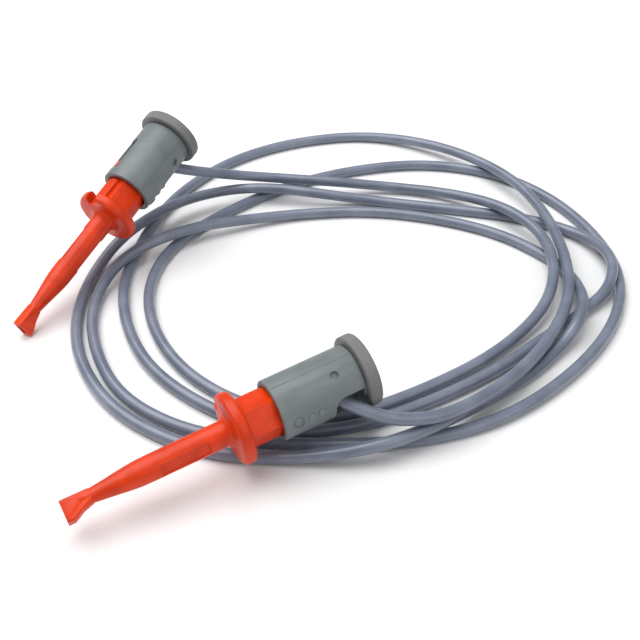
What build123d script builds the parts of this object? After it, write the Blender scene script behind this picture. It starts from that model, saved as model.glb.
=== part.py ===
from build123d import *
import os
from math import cos, radians, sin, tan

# A test lead with a plunger-hook clip at each end, lying on a table in four and a half loose turns.
# Millimetres, +Z up. The origin is under the middle of the two clips, on the table.
# Each clip has its own axis, measured by its station: 0 at the nose's mouth, rising to the thumb disc.
# Its lateral direction of turn 0 is the side that the hook opens to and the lead leaves from.

# Nose and finger flange, one orange moulding
MOUTH_LOW = -1.25
MOUTH_HIGH = 2.8
MOUTH_HALF = 1.1
TOE_LENGTH = 1.2
HEEL_STATION = 3.0
HEEL_HIGH = 1.8
WAIST_STATION = 4.9
WAIST_RADIUS = 1.28
SHOULDER_STATION = 11.0
NOSE_RADIUS = 2.3
FLANGE_STATION = 29.6
FLANGE_THICKNESS = 2.4
FLANGE_RADIUS = 6.55
NOTCH_WIDTH = 2.6
NOTCH_DEPTH = 2.0
GUIDE_RADIUS = 4.5
RIB_RADIUS = 4.55
GUIDE_END = 45.0
GUIDE_BORE = 3.2
GUIDE_FLOOR = 33.0
GUIDE_SLOT_WIDTH = 3.6
GUIDE_SLOT_START = 39.4
LATCH_TURN = 150.0
LATCH_RADIUS = 5.35

# Sliding plunger and its thumb disc
SLEEVE_START = 37.7
SLEEVE_RADIUS = 5.6
SLEEVE_BORE = 4.65
SLEEVE_FLOOR = 52.0
SLEEVE_END = 53.4
NECK_RADIUS = 5.0
DISC_START = 53.8
DISC_END = 56.1
DISC_RADIUS = 6.8
LEAD_SLOT_WIDTH = 6.6
LEAD_SLOT_START = 47.4
WINDOW_WIDTH = 3.6
WINDOW_START = 39.9
WINDOW_END = 48.4

# Contact, spring and joint to the lead
ROD_RADIUS = 0.5
ROD_CLEARANCE = 0.06
ROD_END = 52.9
HOOK_RADIUS = 0.6
COLLAR_STATION = 43.0
COLLAR_THICKNESS = 1.2
COLLAR_RADIUS = 2.85
WASHER_THICKNESS = 0.4
SPRING_RADIUS = 2.35
SPRING_WIRE = 0.28
SPRING_TURNS = 8
BARREL_START = 45.5
BARREL_END = 48.7
BARREL_RADIUS = 1.1
STRANDS_RADIUS = 0.65
SOLDER_RADIUS = 1.5
TRAVEL = 5.0

# Lead
LEAD_DIAMETER = 2.4
LEAD_EXIT_STATION = 50.8
LEAD_EXIT_SLOPE = 54.0
LEAD_START_RADIUS = 2.1
LEAD_RUN_OUT = 8.0

# Corners of the lead's route from the near clip to the far clip. The lead's centre is 1.2 above the table.
LEAD_CORNERS = [
    # Out of the near clip, high over the first crossing, up the right side and over to the far side.
    (40.5, -28.9, 6.9), (48.3, -26.7, 6.1), (60.5, -16.7, 4.7), (70.7, -3.6, 4.0),
    (77.6, 10.6, 3.9), (79.3, 26.1, 3.9), (77.5, 43.6, 4.0), (71.1, 59.0, 4.4),
    (57.4, 75.0, 2.9), (39.3, 84.0, 1.2), (19.8, 80.8, 1.2), (3.9, 71.8, 1.2),
    (-6.9, 58.6, 1.2), (-13.0, 44.9, 1.2), (-15.9, 30.8, 1.2), (-17.2, 17.4, 1.2),
    # Second turn: under the near clip and out to the right.
    (-14.0, 2.6, 1.2), (-6.9, -10.5, 1.2), (5.8, -21.2, 1.2), (19.3, -26.6, 1.2),
    (33.3, -24.7, 1.2), (48.5, -17.0, 1.2), (61.1, -8.6, 1.2), (70.5, 0.1, 1.2),
    (80.2, 8.4, 1.2), (87.5, 15.6, 2.6), (89.6, 25.3, 4.1), (84.7, 37.3, 1.5),
    (72.8, 44.0, 1.2), (54.3, 48.0, 1.2), (37.3, 51.4, 1.2), (24.8, 51.1, 3.4),
    (12.6, 52.9, 4.0), (1.6, 51.8, 3.8), (-9.3, 45.8, 3.9), (-18.7, 33.5, 3.9),
    (-24.1, 22.8, 1.2), (-25.4, 8.4, 1.2), (-22.2, -6.6, 1.2),
    # Third turn: over the fourth at the front, over the second at the right.
    (-12.8, -21.2, 1.2), (2.9, -30.8, 1.2), (17.8, -32.8, 1.2), (33.2, -33.2, 4.0),
    (43.9, -28.8, 4.3), (54.8, -19.5, 1.5), (65.3, -11.6, 1.2), (73.5, -2.7, 1.8),
    (77.4, 1.9, 4.1), (80.1, 9.1, 4.0), (80.2, 21.0, 1.2), (75.9, 28.3, 1.2),
    (67.1, 37.0, 1.2), (54.1, 43.2, 1.2), (38.1, 46.8, 1.2), (20.3, 45.5, 1.2),
    (6.0, 40.7, 2.4), (-4.0, 35.5, 4.0), (-14.7, 27.4, 4.3), (-20.5, 19.9, 2.7),
    (-22.3, 8.4, 1.2), (-19.0, -4.6, 1.2), (-12.3, -16.9, 1.2), (-0.3, -25.4, 1.2),
    # Fourth turn: the widest at the right.
    (12.8, -28.5, 1.2), (28.3, -29.4, 1.2), (43.8, -28.5, 1.2), (60.3, -22.4, 1.2),
    (75.8, -9.2, 1.2), (86.7, 5.8, 1.2), (91.2, 21.4, 1.2), (88.5, 38.0, 1.2),
    (81.1, 53.4, 1.2), (68.9, 64.7, 1.2), (51.1, 69.2, 1.2), (31.8, 65.2, 1.2),
    (15.8, 57.2, 1.2), (1.5, 45.0, 1.2), (-8.9, 31.4, 1.2), (-11.9, 16.0, 1.2),
    (-7.9, 0.4, 1.2),
    # Last half turn, then up to the far clip.
    (0.9, -12.4, 1.2), (14.3, -21.2, 1.2), (30.3, -22.5, 1.2), (44.5, -15.6, 1.2),
    (59.9, -5.2, 1.2), (71.8, 7.1, 2.8), (76.4, 20.7, 4.1), (75.3, 34.3, 4.1),
    (68.0, 44.4, 4.3), (56.7, 53.7, 1.9), (42.3, 57.2, 1.5), (28.7, 55.6, 3.9),
    (11.2, 56.4, 4.7), (3.4, 52.1, 8.0),
]


def clip_seat(tip, azimuth, elevation, hook_turn):
    """The plane of a clip: its origin is at the mouth, its z runs back along the clip, its x is turn 0."""
    a = radians(azimuth)
    e = radians(elevation)
    t = radians(hook_turn)
    back = Vector(cos(a) * cos(e), sin(a) * cos(e), sin(e))
    side = Vector(sin(a), -cos(a), 0)
    top = Vector(-cos(a) * sin(e), -sin(a) * sin(e), cos(e))
    return Plane(origin=tip, x_dir=top * cos(t) + side * sin(t), z_dir=back)


SEATS = {
    "near": clip_seat((-15.795, -47.87, 6.05), 28.8, 6.2, 112),
    "far": clip_seat((-35.085, 1.49, 2.715), 58.7, 20.2, 170),
}


def lateral(seat, turn):
    """The direction at right angles to the clip's axis, turned from the side that the hook opens to."""
    return seat.x_dir * cos(radians(turn)) + seat.y_dir * sin(radians(turn))


def lengthwise(seat, turn=0.0):
    """A plane through the clip's axis: x is the distance from the axis, y is the station."""
    out = lateral(seat, turn)
    return Plane(origin=seat.origin, x_dir=out, z_dir=out.cross(seat.z_dir))


def facing(seat, turn, height):
    """A plane that faces out from the axis: x is the station, y runs round the clip."""
    out = lateral(seat, turn)
    return Plane(origin=seat.origin + out * height, x_dir=seat.z_dir, z_dir=out)


def axis_of(seat):
    return Axis(seat.origin, seat.z_dir)


def save(name, solid):
    solid.label = name
    export_step(solid, f"parts/{name}.step")


os.makedirs("parts", exist_ok=True)

for end, seat in SEATS.items():
    # Housing: nose with its duck foot, finger flange and hexagonal guide, moulded in one piece.
    with BuildPart() as body:
        with BuildSketch(lengthwise(seat)) as nose_half:
            with BuildLine():
                Polyline(
                    (0, HEEL_STATION),
                    (WAIST_RADIUS, HEEL_STATION),
                    (WAIST_RADIUS, WAIST_STATION),
                )
                Spline(
                    (WAIST_RADIUS, WAIST_STATION),
                    (NOSE_RADIUS - 0.26, SHOULDER_STATION),
                    (NOSE_RADIUS - 0.04, SHOULDER_STATION + 2.5),
                    tangents=[(0.1, 1.0), (0.03, 1.0)],
                )
                Polyline(
                    (NOSE_RADIUS - 0.04, SHOULDER_STATION + 2.5),
                    (NOSE_RADIUS, SHOULDER_STATION + 5.0),
                    (NOSE_RADIUS + 0.04, FLANGE_STATION + 1.0),
                    (0, FLANGE_STATION + 1.0),
                    (0, HEEL_STATION),
                )
            make_face()
        revolve(axis=axis_of(seat))
        # Duck foot: a flat-sided mouth, wider on the side that the hook opens to, that narrows to the waist.
        with BuildSketch(seat):
            with Locations(((MOUTH_LOW + MOUTH_HIGH) / 2, 0)):
                RectangleRounded(MOUTH_HIGH - MOUTH_LOW, 2 * MOUTH_HALF, 0.35)
        with BuildSketch(seat.offset(TOE_LENGTH)):
            with Locations(((MOUTH_LOW + MOUTH_HIGH) / 2, 0)):
                RectangleRounded(MOUTH_HIGH - MOUTH_LOW, 2 * MOUTH_HALF, 0.35)
        loft(ruled=True)
        with BuildSketch(seat.offset(TOE_LENGTH)):
            with Locations(((MOUTH_LOW + MOUTH_HIGH) / 2, 0)):
                RectangleRounded(MOUTH_HIGH - MOUTH_LOW, 2 * MOUTH_HALF, 0.35)
        with BuildSketch(seat.offset(HEEL_STATION)):
            with Locations(((MOUTH_LOW + HEEL_HIGH) / 2, 0)):
                RectangleRounded(HEEL_HIGH - MOUTH_LOW, 2 * MOUTH_HALF, 0.45)
        loft(ruled=True)
        with BuildSketch(seat.offset(HEEL_STATION)):
            with Locations(((MOUTH_LOW + HEEL_HIGH) / 2, 0)):
                RectangleRounded(HEEL_HIGH - MOUTH_LOW, 2 * MOUTH_HALF, 0.45)
        with BuildSketch(seat.offset(WAIST_STATION)):
            RectangleRounded(2 * WAIST_RADIUS, 1.9 * WAIST_RADIUS, 0.8)
        loft(ruled=True)
        # Finger flange, round with soft edges.
        with BuildSketch(seat.offset(FLANGE_STATION)):
            Circle(FLANGE_RADIUS)
        extrude(amount=FLANGE_THICKNESS)
        rim = body.edges().filter_by(GeomType.CIRCLE).filter_by(lambda e: e.radius > FLANGE_RADIUS - 0.01)
        fillet(rim, 0.8)
        # Fillet-like root where the nose meets the flange.
        with BuildSketch(lengthwise(seat)) as root:
            with BuildLine():
                Polyline(
                    (0, FLANGE_STATION - 1.2),
                    (NOSE_RADIUS + 0.05, FLANGE_STATION - 1.2),
                )
                RadiusArc(
                    (NOSE_RADIUS + 0.05, FLANGE_STATION - 1.2),
                    (NOSE_RADIUS + 1.4, FLANGE_STATION + 0.02),
                    1.5,
                )
                Polyline(
                    (NOSE_RADIUS + 1.4, FLANGE_STATION + 0.02),
                    (0, FLANGE_STATION + 0.02),
                    (0, FLANGE_STATION - 1.2),
                )
            make_face()
        revolve(axis=axis_of(seat))
        # Hexagonal guide that keeps the plunger from turning.
        with BuildSketch(seat.offset(FLANGE_STATION + FLANGE_THICKNESS)):
            RegularPolygon(GUIDE_RADIUS, 6, rotation=30)
        extrude(amount=GUIDE_END - FLANGE_STATION - FLANGE_THICKNESS)
        # Rib on the guide's back, in line with the flange's notch.
        with BuildSketch(facing(seat, 180, 0)):
            with Locations(((FLANGE_STATION + FLANGE_THICKNESS + 37.4) / 2, 0)):
                Rectangle(37.4 - FLANGE_STATION - FLANGE_THICKNESS, 1.7)
        extrude(amount=RIB_RADIUS)
        # Latch that rides in the plunger's window and stops it coming off.
        with BuildSketch(facing(seat, LATCH_TURN, 0)):
            with Locations((WINDOW_START + 1.3, 0)):
                Rectangle(1.6, 2.4)
        extrude(amount=LATCH_RADIUS)
        # Notch in the rim of the flange.
        with BuildSketch(facing(seat, 180, FLANGE_RADIUS - NOTCH_DEPTH)):
            with Locations((FLANGE_STATION + FLANGE_THICKNESS / 2, 0)):
                Rectangle(FLANGE_THICKNESS + 0.4, NOTCH_WIDTH)
        extrude(amount=NOTCH_DEPTH + 1, mode=Mode.SUBTRACT)
        # Bores: rod bore through the nose, hook pocket in the foot, spring bore in the guide.
        with BuildSketch(seat.offset(-0.5)):
            Circle(ROD_RADIUS + ROD_CLEARANCE)
        extrude(amount=GUIDE_FLOOR + 1, mode=Mode.SUBTRACT)
        with BuildSketch(seat.offset(-0.5)):
            with Locations((0.65, 0)):
                RectangleRounded(2.6, 1.4, 0.2)
        extrude(amount=2.9, mode=Mode.SUBTRACT)
        with BuildSketch(seat.offset(GUIDE_FLOOR)):
            Circle(GUIDE_BORE)
        extrude(amount=GUIDE_END, mode=Mode.SUBTRACT)
        with BuildSketch(facing(seat, 0, GUIDE_BORE - 2.2)):
            with Locations(((GUIDE_SLOT_START + GUIDE_END + 1) / 2, 0)):
                Rectangle(GUIDE_END + 1 - GUIDE_SLOT_START, GUIDE_SLOT_WIDTH)
        extrude(amount=6, mode=Mode.SUBTRACT)
        # Sunken panel on each flank of the nose.
        for turn in (-35, 145):
            with BuildSketch(facing(seat, turn, NOSE_RADIUS - 0.42)):
                with Locations((20.95, 0)):
                    Rectangle(8.9, 2.2)
            extrude(amount=1, mode=Mode.SUBTRACT)
    save(f"{end}_housing", body.part)

    # Plunger: a thin sleeve that slides on the guide, closed at the back, with a slot for the lead.
    with BuildPart() as plunger:
        with BuildSketch(seat.offset(SLEEVE_START)):
            Circle(SLEEVE_RADIUS)
        extrude(amount=SLEEVE_END - SLEEVE_START)
        lip = plunger.edges().filter_by(GeomType.CIRCLE).sort_by(axis_of(seat))[0]
        fillet(lip, 0.3)
        with BuildSketch(seat.offset(SLEEVE_END)):
            Circle(NECK_RADIUS)
        extrude(amount=DISC_START - SLEEVE_END)
        with BuildSketch(seat.offset(SLEEVE_START - 1)):
            Circle(SLEEVE_BORE)
        extrude(amount=SLEEVE_FLOOR - SLEEVE_START + 1, mode=Mode.SUBTRACT)
        with BuildSketch(seat.offset(SLEEVE_FLOOR - 1)):
            Circle(ROD_RADIUS + 0.02)
        extrude(amount=DISC_START - SLEEVE_FLOOR + 2, mode=Mode.SUBTRACT)
        with BuildSketch(facing(seat, 0, 2.6)) as lead_slot:
            with Locations(((LEAD_SLOT_START + SLEEVE_END + 2) / 2, 0)):
                RectangleRounded(SLEEVE_END + 2 - LEAD_SLOT_START, LEAD_SLOT_WIDTH, 2.0)
            with Locations((SLEEVE_END + 2, 0)):
                Rectangle(4.0, LEAD_SLOT_WIDTH + 1, mode=Mode.SUBTRACT)
        extrude(amount=4, mode=Mode.SUBTRACT)
        with BuildSketch(facing(seat, LATCH_TURN, 3.0)):
            with Locations(((WINDOW_START + WINDOW_END) / 2, 0)):
                RectangleRounded(WINDOW_END - WINDOW_START, WINDOW_WIDTH, 0.3)
        extrude(amount=4, mode=Mode.SUBTRACT)
        # Round dimple near the back of the sleeve.
        with BuildSketch(facing(seat, -80, SLEEVE_RADIUS - 0.5)):
            with Locations((48.9, 0)):
                Circle(0.8)
        extrude(amount=1, mode=Mode.SUBTRACT)
    save(f"{end}_plunger", plunger.part)

    # Thumb disc, with a stem that plugs the hole in the plunger's back.
    with BuildPart() as thumb_disc:
        with BuildSketch(seat.offset(DISC_START)):
            Circle(DISC_RADIUS)
        extrude(amount=DISC_END - DISC_START)
        fillet(thumb_disc.edges().filter_by(GeomType.CIRCLE), 0.35)
        with BuildSketch(seat.offset(ROD_END + 0.2)):
            Circle(ROD_RADIUS)
        extrude(amount=DISC_START - ROD_END - 0.2)
    save(f"{end}_thumb_disc", thumb_disc.part)

    # Hook contact: one springy rod, bent into a small hook behind the mouth.
    with BuildPart() as hook:
        with BuildSketch(seat.offset(1.0 + HOOK_RADIUS)):
            Circle(ROD_RADIUS)
        extrude(amount=ROD_END - 1.0 - HOOK_RADIUS)
        with BuildLine() as bend:
            with BuildLine(lengthwise(seat)):
                CenterArc((HOOK_RADIUS, 1.0 + HOOK_RADIUS), HOOK_RADIUS, 180, 180)
                Line((2 * HOOK_RADIUS, 1.0 + HOOK_RADIUS), (2 * HOOK_RADIUS, 2.1))
        with BuildSketch(Plane(origin=seat.offset(1.0 + HOOK_RADIUS).origin, x_dir=seat.x_dir, z_dir=-seat.z_dir)):
            Circle(ROD_RADIUS - 0.06)
        sweep(path=bend.wires()[0])
    save(f"{end}_hook_contact", hook.part)

    # Collar crimped on the rod: the spring pushes the plunger back through it.
    with BuildPart() as collar:
        with BuildSketch(seat.offset(COLLAR_STATION)):
            Circle(COLLAR_RADIUS)
            Circle(ROD_RADIUS + 0.02, mode=Mode.SUBTRACT)
        extrude(amount=COLLAR_THICKNESS)
        fillet(collar.edges().filter_by(lambda e: e.geom_type == GeomType.CIRCLE and e.radius > 2), 0.2)
    save(f"{end}_spring_collar", collar.part)

    # Washer that the spring stands on, at the bottom of the guide's bore.
    with BuildPart() as washer:
        with BuildSketch(seat.offset(GUIDE_FLOOR)):
            Circle(GUIDE_BORE - 0.1)
            Circle(ROD_RADIUS + 0.3, mode=Mode.SUBTRACT)
        extrude(amount=WASHER_THICKNESS)
    save(f"{end}_spring_washer", washer.part)

    # Return spring, wound from round wire.
    spring_low = GUIDE_FLOOR + WASHER_THICKNESS + SPRING_WIRE
    spring_height = COLLAR_STATION - spring_low - SPRING_WIRE
    with BuildPart() as spring:
        with BuildLine() as coil:
            Helix(
                pitch=spring_height / SPRING_TURNS,
                height=spring_height,
                radius=SPRING_RADIUS,
                center=seat.offset(spring_low).origin,
                direction=seat.z_dir,
            )
        with BuildSketch(Plane(origin=coil.line @ 0, z_dir=coil.line % 0)):
            Circle(SPRING_WIRE)
        sweep(path=coil.line, is_frenet=True)
    save(f"{end}_return_spring", spring.part)

    # Crimp barrel on the rod's tail.
    with BuildPart() as barrel:
        with BuildSketch(seat.offset(BARREL_START)):
            Circle(BARREL_RADIUS)
            Circle(ROD_RADIUS + 0.02, mode=Mode.SUBTRACT)
        extrude(amount=BARREL_END - BARREL_START)
    save(f"{end}_crimp_barrel", barrel.part)

    # Bare strands: from the cut face of the insulation in to the barrel.
    slope = radians(LEAD_EXIT_SLOPE)
    leaving = seat.z_dir * cos(slope) + seat.x_dir * sin(slope)
    exit_point = seat.origin + seat.z_dir * LEAD_EXIT_STATION + seat.x_dir * SLEEVE_RADIUS
    inside = (SLEEVE_RADIUS - LEAD_START_RADIUS) / sin(slope)
    start_point = exit_point - leaving * inside
    with BuildPart() as strands:
        with BuildSketch(Plane(origin=start_point, z_dir=-leaving)):
            Circle(STRANDS_RADIUS)
        extrude(amount=1.3)
        add(barrel.part, mode=Mode.SUBTRACT)
        add(hook.part, mode=Mode.SUBTRACT)
    save(f"{end}_bare_strands", strands.part)

    # Solder: a bead over the barrel and the strands.
    with BuildPart() as solder:
        with BuildSketch(lengthwise(seat)):
            with BuildLine():
                ThreePointArc(
                    (BARREL_RADIUS, BARREL_END - 2.4),
                    (SOLDER_RADIUS, BARREL_END - 1.3),
                    (BARREL_RADIUS, BARREL_END - 0.2),
                )
                Line((BARREL_RADIUS, BARREL_END - 0.2), (BARREL_RADIUS, BARREL_END - 2.4))
            make_face()
        revolve(axis=axis_of(seat))
        add(strands.part, mode=Mode.SUBTRACT)
    save(f"{end}_solder_bead", solder.part)
    print(end, "lead starts at", start_point, "leaves at", exit_point, "along", leaving)

# Lead: PVC-covered wire, drawn as straight runs joined by tangent arcs.


def lead_end(seat):
    """The start of the lead inside a clip, and the point where its first run ends."""
    slope = radians(LEAD_EXIT_SLOPE)
    leaving = seat.z_dir * cos(slope) + seat.x_dir * sin(slope)
    exit_point = seat.origin + seat.z_dir * LEAD_EXIT_STATION + seat.x_dir * SLEEVE_RADIUS
    start = exit_point - leaving * ((SLEEVE_RADIUS - LEAD_START_RADIUS) / sin(slope))
    return start, start + leaving * LEAD_RUN_OUT


near_start, near_corner = lead_end(SEATS["near"])
far_start, far_corner = lead_end(SEATS["far"])
corners = [near_start, near_corner]
corners += [Vector(*point) for point in LEAD_CORNERS]
corners += [far_corner, far_start]

radii = []
for before, here, after in zip(corners, corners[1:], corners[2:]):
    turned = radians((here - before).get_angle(after - here))
    shorter = min((here - before).length, (after - here).length)
    radii.append(0.45 * shorter / tan(turned / 2))

with BuildPart() as lead:
    with BuildLine() as lead_line:
        FilletPolyline(*corners, radius=radii)
    with BuildSketch(Plane(origin=near_start, z_dir=near_corner - near_start)):
        Circle(LEAD_DIAMETER / 2)
    sweep(path=lead_line.line)
save("lead", lead.part)
print("bend radii", [round(r, 1) for r in radii])
lead_length = sum(edge.length for edge in lead_line.edges())
section = 3.14159 * LEAD_DIAMETER**2 / 4
print("lead length", lead_length, "volume ratio", lead.part.volume / (section * lead_length))
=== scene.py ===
from math import cos, pi, radians, sin

import bmesh
import bpy
from mathutils import Matrix, Vector


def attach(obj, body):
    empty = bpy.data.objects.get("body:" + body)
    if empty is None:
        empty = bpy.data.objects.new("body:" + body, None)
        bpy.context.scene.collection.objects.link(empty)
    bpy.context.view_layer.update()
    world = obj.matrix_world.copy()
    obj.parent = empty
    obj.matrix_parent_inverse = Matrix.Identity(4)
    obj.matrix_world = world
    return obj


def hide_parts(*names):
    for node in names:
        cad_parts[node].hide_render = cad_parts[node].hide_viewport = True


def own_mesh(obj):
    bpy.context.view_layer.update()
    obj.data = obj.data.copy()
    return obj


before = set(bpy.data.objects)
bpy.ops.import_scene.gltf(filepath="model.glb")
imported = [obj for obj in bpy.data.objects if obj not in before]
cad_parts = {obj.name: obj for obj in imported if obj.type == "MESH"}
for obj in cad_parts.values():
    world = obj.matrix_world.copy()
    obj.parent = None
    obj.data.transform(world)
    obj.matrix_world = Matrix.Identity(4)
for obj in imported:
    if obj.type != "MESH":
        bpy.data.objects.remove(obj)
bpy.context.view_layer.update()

# Camera: looks down along +Y at 39 degrees, from about 20 cm away and 13 cm up.
camera_data = bpy.data.cameras.new("camera")
camera_data.sensor_width = 36.0
camera_data.lens = 54.22
camera_data.clip_start = 0.005
camera = bpy.data.objects.new("camera", camera_data)
camera.location = (0.02536, -0.14757, 0.1269)
camera.rotation_euler = (radians(50.64), 0.0, 0.0)
bpy.context.collection.objects.link(camera)
bpy.context.scene.camera = camera

# Lead: fine stranded copper in a soft blue-grey PVC jacket, 2.4 mm thick, with a low gloss. It leaves the
# near clip, lies in loose turns on the floor and rises into the far clip. The corners of its route are in mm.
MM = 0.001
LEAD_DIAMETER = 0.0024
lead_route_mm = [
    (27.3, -26.4, 10.5), (34.5, -29.3, 8.6),
    # Out of the near clip, high over the first crossing, up the right side and over to the far side.
    (40.5, -28.9, 6.9), (48.3, -26.7, 6.1), (60.5, -16.7, 4.7), (70.7, -3.6, 4.0),
    (77.6, 10.6, 3.9), (79.3, 26.1, 3.9), (77.5, 43.6, 4.0), (71.1, 59.0, 4.4),
    (57.4, 75.0, 2.9), (39.3, 84.0, 1.2), (19.8, 80.8, 1.2), (3.9, 71.8, 1.2),
    (-6.9, 58.6, 1.2), (-13.0, 44.9, 1.2), (-15.9, 30.8, 1.2), (-17.2, 17.4, 1.2),
    # Second turn: under the near clip and out to the right.
    (-14.0, 2.6, 1.2), (-6.9, -10.5, 1.2), (5.8, -21.2, 1.2), (19.3, -26.6, 1.2),
    (33.3, -24.7, 1.2), (48.5, -17.0, 1.2), (61.1, -8.6, 1.2), (70.5, 0.1, 1.2),
    (80.2, 8.4, 1.2), (87.5, 15.6, 2.6), (89.6, 25.3, 4.1), (84.7, 37.3, 1.5),
    (72.8, 44.0, 1.2), (54.3, 48.0, 1.2), (37.3, 51.4, 1.2), (24.8, 51.1, 3.4),
    (12.6, 52.9, 4.0), (1.6, 51.8, 3.8), (-9.3, 45.8, 3.9), (-18.7, 33.5, 3.9),
    (-24.1, 22.8, 1.2), (-25.4, 8.4, 1.2), (-22.2, -6.6, 1.2),
    # Third turn: over the fourth at the front, over the second at the right.
    (-12.8, -21.2, 1.2), (2.9, -30.8, 1.2), (17.8, -32.8, 1.2), (33.2, -33.2, 4.0),
    (43.9, -28.8, 4.3), (54.8, -19.5, 1.5), (65.3, -11.6, 1.2), (73.5, -2.7, 1.8),
    (77.4, 1.9, 4.1), (80.1, 9.1, 4.0), (80.2, 21.0, 1.2), (75.9, 28.3, 1.2),
    (67.1, 37.0, 1.2), (54.1, 43.2, 1.2), (38.1, 46.8, 1.2), (20.3, 45.5, 1.2),
    (6.0, 40.7, 2.4), (-4.0, 35.5, 4.0), (-14.7, 27.4, 4.3), (-20.5, 19.9, 2.7),
    (-22.3, 8.4, 1.2), (-19.0, -4.6, 1.2), (-12.3, -16.9, 1.2), (-0.3, -25.4, 1.2),
    # Fourth turn: the widest at the right.
    (12.8, -28.5, 1.2), (28.3, -29.4, 1.2), (43.8, -28.5, 1.2), (60.3, -22.4, 1.2),
    (75.8, -9.2, 1.2), (86.7, 5.8, 1.2), (91.2, 21.4, 1.2), (88.5, 38.0, 1.2),
    (81.1, 53.4, 1.2), (68.9, 64.7, 1.2), (51.1, 69.2, 1.2), (31.8, 65.2, 1.2),
    (15.8, 57.2, 1.2), (1.5, 45.0, 1.2), (-8.9, 31.4, 1.2), (-11.9, 16.0, 1.2),
    (-7.9, 0.4, 1.2),
    # Last half turn, then up to the far clip.
    (0.9, -12.4, 1.2), (14.3, -21.2, 1.2), (30.3, -22.5, 1.2), (44.5, -15.6, 1.2),
    (59.9, -5.2, 1.2), (71.8, 7.1, 2.8), (76.4, 20.7, 4.1), (75.3, 34.3, 4.1),
    (68.0, 44.4, 4.3), (56.7, 53.7, 1.9), (42.3, 57.2, 1.5), (28.7, 55.6, 3.9),
    (11.2, 56.4, 4.7), (3.4, 52.1, 8.0),
    (-6.5, 45.7, 13.1), (-10.9, 40.6, 17.4),
]


def open_curve(name, points, radius):
    """A round cord through a smooth line, in metres, with its ends closed."""
    curve = bpy.data.curves.new(name, "CURVE")
    curve.dimensions = "3D"
    curve.bevel_depth = radius
    curve.bevel_resolution = 8
    curve.resolution_u = 10
    curve.use_fill_caps = True
    line = curve.splines.new("NURBS")
    line.points.add(len(points) - 1)
    for point, place in zip(line.points, points):
        point.co = (*place, 1.0)
    line.order_u = 3
    line.use_endpoint_u = True
    cord = bpy.data.objects.new(name, curve)
    bpy.context.collection.objects.link(cord)
    return cord


class Finish:
    """A Principled material whose nodes read the piece's own Object coordinates."""

    def __init__(self, name, roughness, metallic=0.0, **sockets):
        self.material = bpy.data.materials.new(name)
        self.material.use_nodes = True
        self.tree = self.material.node_tree
        self.shader = self.tree.nodes["Principled BSDF"]
        self.shader.inputs["Roughness"].default_value = roughness
        self.shader.inputs["Metallic"].default_value = metallic
        for socket, value in sockets.items():
            self.shader.inputs[socket.replace("_", " ")].default_value = value
        self.place = self.tree.nodes.new("ShaderNodeTexCoord").outputs["Object"]

    def grain(self, scale, detail=3.0):
        """The value of a noise of that many lumps a metre."""
        noise = self.tree.nodes.new("ShaderNodeTexNoise")
        noise.inputs["Scale"].default_value = scale
        noise.inputs["Detail"].default_value = detail
        self.tree.links.new(self.place, noise.inputs["Vector"])
        return noise.outputs["Fac"]

    def math(self, operation, *values):
        """A Math node; each value is a number or another node's output."""
        node = self.tree.nodes.new("ShaderNodeMath")
        node.operation = operation
        for socket, value in zip(node.inputs, values):
            if isinstance(value, float):
                socket.default_value = value
            else:
                self.tree.links.new(value, socket)
        return node.outputs["Value"]

    def colour(self, value, stops):
        """A ramp between two colours; each stop is a place from 0 to 1 and a colour."""
        ramp = self.tree.nodes.new("ShaderNodeValToRGB")
        for element, (place, colour) in zip(ramp.color_ramp.elements, stops):
            element.position = place
            element.color = (*colour, 1.0)
        self.tree.links.new(value, ramp.inputs["Fac"])
        self.tree.links.new(ramp.outputs["Color"], self.shader.inputs["Base Color"])

    def shine(self, value, low, high):
        """Roughness that wanders between two values."""
        spread = self.tree.nodes.new("ShaderNodeMapRange")
        spread.inputs["From Min"].default_value = 0.3
        spread.inputs["From Max"].default_value = 0.7
        spread.inputs["To Min"].default_value = low
        spread.inputs["To Max"].default_value = high
        self.tree.links.new(value, spread.inputs["Value"])
        self.tree.links.new(spread.outputs["Result"], self.shader.inputs["Roughness"])

    def relief(self, value, depth, strength=1.0):
        """A bump of that depth in metres."""
        bump = self.tree.nodes.new("ShaderNodeBump")
        bump.inputs["Distance"].default_value = depth
        bump.inputs["Strength"].default_value = strength
        self.tree.links.new(value, bump.inputs["Height"])
        self.tree.links.new(bump.outputs["Normal"], self.shader.inputs["Normal"])


pvc = Finish("blue_grey_pvc", 0.36, Coat_Weight=0.55, Coat_Roughness=0.18)
pvc.colour(pvc.grain(160.0), [(0.3, (0.120, 0.143, 0.200)), (0.7, (0.190, 0.215, 0.282))])
pvc.shine(pvc.grain(420.0), 0.30, 0.46)
pvc.relief(pvc.grain(2600.0), 0.00002, 0.35)
lead_route = [Vector(corner) * MM for corner in lead_route_mm]
lead = open_curve("lead_jacket", lead_route, LEAD_DIAMETER / 2)
lead.data.materials.append(pvc.material)
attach(lead, "plungers_and_lead")
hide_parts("lead")

# Housings: one orange nylon moulding in each clip, from the duck-foot mouth through the tapered nose and the
# notched finger flange to the hexagonal guide. The mould leaves soft edges and a faint satin skin.
CLIP_MOUTH_MM = {"near": (-15.795, -47.87, 6.05), "far": (-35.085, 1.49, 2.715)}
CLIP_AIM = {"near": (28.8, 6.2, 112.0), "far": (58.7, 20.2, 170.0)}  # turn, rise and roll in degrees
WELD_DISTANCE = 0.000001
FLAT_ANGLE = 0.6
SHARP_ANGLE = 28.0


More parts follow.
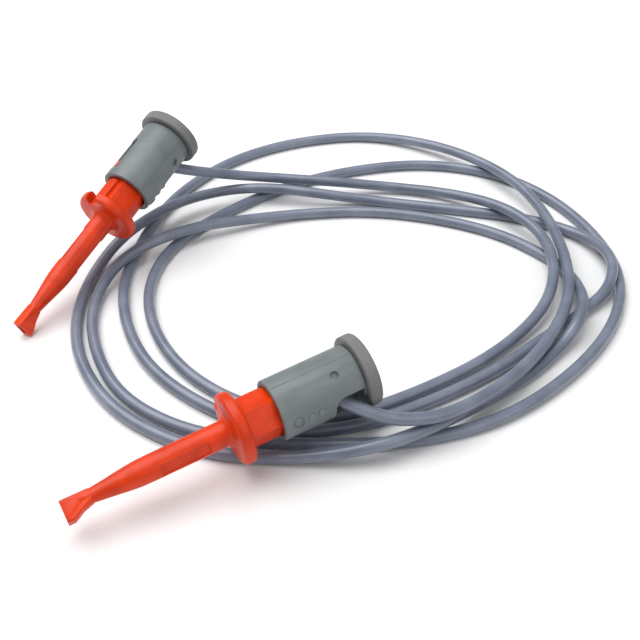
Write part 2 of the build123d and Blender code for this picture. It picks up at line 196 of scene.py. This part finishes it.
def clip_seat(end):
    """The place of a clip: z runs back along it from the mouth, x is the side that the hook opens to."""
    turn, rise, roll = (radians(angle) for angle in CLIP_AIM[end])
    back = Vector((cos(turn) * cos(rise), sin(turn) * cos(rise), sin(rise)))
    side = Vector((sin(turn), -cos(turn), 0.0))
    top = Vector((-cos(turn) * sin(rise), -sin(turn) * sin(rise), cos(rise)))
    open_side = top * cos(roll) + side * sin(roll)
    seat = Matrix((open_side, back.cross(open_side), back)).transposed().to_4x4()
    seat.translation = Vector(CLIP_MOUTH_MM[end]) * MM
    return seat


def moulding(end, node, body, finish, edge):
    """The moulded skin of a CAD solid: its flat facets joined and its sharp edges softened."""
    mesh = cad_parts[f"{end}_{node}"].data.copy()
    form = bmesh.new()
    form.from_mesh(mesh)
    bmesh.ops.remove_doubles(form, verts=form.verts, dist=WELD_DISTANCE)
    flat = radians(FLAT_ANGLE)
    bmesh.ops.dissolve_limit(form, angle_limit=flat, verts=form.verts, edges=form.edges)
    for face in form.faces:
        face.smooth = True
    form.to_mesh(mesh)
    form.free()
    mesh.materials.clear()
    mesh.materials.append(finish.material)
    piece = bpy.data.objects.new(f"{end}_{node}_moulding", mesh)
    bpy.context.collection.objects.link(piece)
    soft = piece.modifiers.new("soft_edges", "BEVEL")
    soft.width = edge
    soft.segments = 2
    soft.limit_method = "ANGLE"
    soft.angle_limit = radians(SHARP_ANGLE)
    soft.harden_normals = True
    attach(piece, body)
    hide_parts(f"{end}_{node}")


orange_nylon = Finish("orange_nylon", 0.34, Specular_IOR_Level=0.3)
orange_range = [(0.3, (0.57, 0.031, 0.001)), (0.7, (0.75, 0.047, 0.002))]
orange_nylon.colour(orange_nylon.grain(220.0), orange_range)
orange_nylon.shine(orange_nylon.grain(700.0), 0.28, 0.44)
orange_nylon.relief(orange_nylon.grain(3200.0, 4.0), 0.00003, 0.5)
for end in CLIP_AIM:
    moulding(end, "housing", f"{end}_nose", orange_nylon, 0.00018)

# Plungers: thin-walled sleeves of grey nylon with a satin skin. Each slides on its housing's guide. The lead
# leaves by the slot at the back.
grey_nylon = Finish("grey_nylon", 0.42)
grey_range = [(0.3, (0.140, 0.163, 0.168)), (0.7, (0.172, 0.196, 0.200))]
grey_nylon.colour(grey_nylon.grain(260.0), grey_range)
grey_nylon.shine(grey_nylon.grain(900.0), 0.36, 0.52)
grey_nylon.relief(grey_nylon.grain(2800.0, 4.0), 0.00004, 0.6)
for end in CLIP_AIM:
    moulding(end, "plunger", "plungers_and_lead", grey_nylon, 0.00012)

# Mould marks on each sleeve: a thin parting line down both sides, and a raised ring and two raised pips near
# the front edge. They are part of the same nylon moulding.
SLEEVE_RADIUS = 0.0056
SLEEVE_FRONT = 0.0380
SLEEVE_BACK = 0.0532
PARTING_TURNS = (-108.0, 72.0)
PARTING_WIDTH = 0.00018
PARTING_HEIGHT = 0.00014
MARK_TURN = -27.0
RING_STATION = 0.0403
RING_RADIUS = 0.00095
RING_SINK = 0.0003
RING_RISE = 0.0006
RING_WALL = 0.00024
RING_SIDES = 40
PIP_STATIONS = (0.0428, 0.0447)
PIP_RADIUS = 0.00075


def sleeve_place(turn, station, height=0.0):
    """A place on the sleeve's skin in the clip's own frame: z faces out, x runs along the clip."""
    angle = radians(turn)
    out = Vector((cos(angle), sin(angle), 0.0))
    along = Vector((0.0, 0.0, 1.0))
    place = Matrix((along, out.cross(along), out)).transposed().to_4x4()
    place.translation = out * (SLEEVE_RADIUS + height) + along * station
    return place


def add_ring(marks):
    """A disc that rises out of the sleeve's skin, with its middle pushed back in to leave a rim."""
    ring = bmesh.ops.create_circle(marks, cap_ends=True, segments=RING_SIDES, radius=RING_RADIUS)["verts"]
    bmesh.ops.transform(marks, matrix=sleeve_place(MARK_TURN, RING_STATION, -RING_SINK), verts=ring)
    face = [f for f in marks.faces if len(f.verts) == RING_SIDES]
    rise = bmesh.ops.extrude_face_region(marks, geom=face)["geom"]
    rise_verts = [g for g in rise if isinstance(g, bmesh.types.BMVert)]
    out = sleeve_place(MARK_TURN, RING_STATION).to_3x3() @ Vector((0.0, 0.0, RING_RISE))
    bmesh.ops.translate(marks, vec=out, verts=rise_verts)
    top = [g for g in rise if isinstance(g, bmesh.types.BMFace)]
    bmesh.ops.inset_region(marks, faces=top, thickness=RING_WALL)
    bmesh.ops.translate(marks, vec=-out * 0.6, verts=list({v for f in top for v in f.verts}))


def sleeve_marks(end):
    """The lines, ring and pips of one sleeve, as one piece."""
    marks = bmesh.new()
    middle = (SLEEVE_FRONT + SLEEVE_BACK) / 2
    for turn in PARTING_TURNS:
        line = bmesh.ops.create_cube(marks, size=1.0)["verts"]
        size = Matrix.Diagonal((SLEEVE_BACK - SLEEVE_FRONT, PARTING_WIDTH, PARTING_HEIGHT, 1.0))
        bmesh.ops.transform(marks, matrix=sleeve_place(turn, middle) @ size, verts=line)
    add_ring(marks)
    for station in PIP_STATIONS:
        pip = bmesh.ops.create_uvsphere(marks, u_segments=20, v_segments=12, radius=PIP_RADIUS)["verts"]
        flat = Matrix.Diagonal((1.0, 1.0, 0.5, 1.0))
        bmesh.ops.transform(marks, matrix=sleeve_place(MARK_TURN, station) @ flat, verts=pip)
    bmesh.ops.recalc_face_normals(marks, faces=marks.faces)
    for face in marks.faces:
        face.smooth = True
    bmesh.ops.transform(marks, matrix=clip_seat(end), verts=marks.verts)
    mesh = bpy.data.meshes.new(f"{end}_sleeve_marks")
    marks.to_mesh(mesh)
    marks.free()
    mesh.materials.append(grey_nylon.material)
    piece = bpy.data.objects.new(f"{end}_sleeve_marks", mesh)
    bpy.context.collection.objects.link(piece)
    soft = piece.modifiers.new("soft_edges", "BEVEL")
    soft.width = 0.00004
    soft.segments = 2
    soft.limit_method = "ANGLE"
    soft.harden_normals = True
    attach(piece, "plungers_and_lead")


for end in CLIP_AIM:
    sleeve_marks(end)

# Thumb discs: warmer grey nylon caps welded to the plungers. The rim has fine knurled lines across it, with
# painted highlight on their crests and painted shade in their grooves, and the skin is a little rougher than
# the sleeve's.
RIM_LINES = 150
RIM_START = 0.00655
KNURL_DEPTH = 0.00004
SKIN_GRAIN = 0.9


def disc_finish(end):
    """Nylon whose knurl turns round this clip's own axis."""
    nylon = Finish(f"{end}_warm_grey_nylon", 0.5)
    tree, link = nylon.tree.nodes, nylon.tree.links.new
    to_clip = clip_seat(end).inverted()
    turned = tree.new("ShaderNodeMapping")
    turned.inputs["Location"].default_value = to_clip.to_translation()
    turned.inputs["Rotation"].default_value = to_clip.to_euler()
    link(nylon.place, turned.inputs["Vector"])
    round_axis = tree.new("ShaderNodeTexGradient")
    round_axis.gradient_type = "RADIAL"
    link(turned.outputs["Vector"], round_axis.inputs["Vector"])
    line = nylon.math("SINE", nylon.math("MULTIPLY", round_axis.outputs["Fac"], RIM_LINES * 2 * pi))
    parts = tree.new("ShaderNodeSeparateXYZ")
    link(turned.outputs["Vector"], parts.inputs["Vector"])
    across = tree.new("ShaderNodeCombineXYZ")
    link(parts.outputs["X"], across.inputs["X"])
    link(parts.outputs["Y"], across.inputs["Y"])
    reach = tree.new("ShaderNodeVectorMath")
    reach.operation = "LENGTH"
    link(across.outputs["Vector"], reach.inputs[0])
    on_rim = nylon.math("GREATER_THAN", reach.outputs["Value"], RIM_START)
    knurl = nylon.math("MULTIPLY", line, on_rim)
    grain_and_painted_knurl_shade = nylon.math("MULTIPLY_ADD", nylon.grain(2400.0, 5.0), SKIN_GRAIN, knurl)
    # The knurl lines also colour the rim: painted highlight on their crests and painted shade in their
    # grooves, over the skin's random grain.
    nylon.colour(grain_and_painted_knurl_shade, [(0.1, (0.120, 0.124, 0.124)), (0.9, (0.235, 0.236, 0.232))])
    nylon.relief(grain_and_painted_knurl_shade, KNURL_DEPTH, 0.8)
    return nylon


for end in CLIP_AIM:
    moulding(end, "thumb_disc", "plungers_and_lead", disc_finish(end), 0.0001)


def spring_coil(end, node):
    """The spring's wire as a piece of its own, carried with the plungers and lead."""
    seat = clip_seat(end)
    coil = bpy.data.objects.new(f"{end}_spring_coil", node.data.copy())
    bpy.context.collection.objects.link(coil)
    coil.matrix_world = node.matrix_world
    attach(coil, "plungers_and_lead")
    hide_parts(node.name)
    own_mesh(coil)
    return coil


# Metal inside: a plated contact rod with its hook, a brass collar and barrel, a steel washer and spring, tin
# solder and copper strands. The springs are the pieces above; the rest are the CAD solids as they are.
# Each has a finish's name, its dark and light metal, and its roughness.
METALS = {
    "hook_contact": ("plated_contact", (0.80, 0.70, 0.46), (0.90, 0.82, 0.60), 0.22),
    "spring_collar": ("collar_brass", (0.62, 0.44, 0.18), (0.76, 0.58, 0.28), 0.34),
    "crimp_barrel": ("barrel_brass", (0.62, 0.44, 0.18), (0.76, 0.58, 0.28), 0.34),
    "spring_washer": ("washer_steel", (0.42, 0.42, 0.43), (0.60, 0.60, 0.61), 0.32),
    "return_spring": ("spring_wire", (0.46, 0.46, 0.48), (0.64, 0.64, 0.66), 0.26),
    "solder_bead": ("tin_solder", (0.58, 0.59, 0.60), (0.74, 0.75, 0.76), 0.38),
    "bare_strands": ("copper_strands", (0.62, 0.28, 0.14), (0.82, 0.46, 0.26), 0.30),
}
for node, (name, dark, light, roughness) in METALS.items():
    metal = Finish(name, roughness, metallic=1.0)
    metal.colour(metal.grain(900.0), [(0.3, dark), (0.7, light)])
    metal.shine(metal.grain(2500.0), roughness - 0.08, roughness + 0.1)
    for end in CLIP_AIM:
        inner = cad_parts[f"{end}_{node}"]
        if node == "return_spring":
            inner = spring_coil(end, inner)
        inner.data.materials.clear()
        inner.data.materials.append(metal.material)

# Floor: a plain white sheet under the whole object.
FLOOR_WHITE = 0.84
bpy.ops.mesh.primitive_plane_add(size=4.0, location=(0.0, 0.0, 0.0))
floor = bpy.context.object
floor.name = "floor"
white_sheet = Finish("white_sheet", 0.8)
white_sheet.shader.inputs["Base Color"].default_value = (FLOOR_WHITE, FLOOR_WHITE, FLOOR_WHITE, 1.0)
floor.data.materials.append(white_sheet.material)


# Light: a large soft box above at the left, a weaker one in front at the right, and an even white room.
COIL_MIDDLE = Vector((0.02, 0.01, 0.0))


def softbox(name, place, size, power):
    """A square area light that looks at the middle of the coil."""
    light_data = bpy.data.lights.new(name, "AREA")
    light_data.shape = "SQUARE"
    light_data.size = size
    light_data.energy = power
    light = bpy.data.objects.new(name, light_data)
    light.location = place
    light.rotation_euler = (COIL_MIDDLE - Vector(place)).to_track_quat("-Z", "Y").to_euler()
    bpy.context.collection.objects.link(light)


softbox("key_light", (-0.20, 0.10, 0.62), 0.75, 6.3)
softbox("fill_light", (0.50, -0.35, 0.45), 0.6, 1.3)
room = bpy.data.worlds.new("room")
bpy.context.scene.world = room
room.use_nodes = True
even_light = room.node_tree.nodes["Background"].inputs
even_light["Color"].default_value = (1.0, 1.0, 1.0, 1.0)
even_light["Strength"].default_value = 0.31
bpy.context.scene.view_settings.view_transform = "Standard"
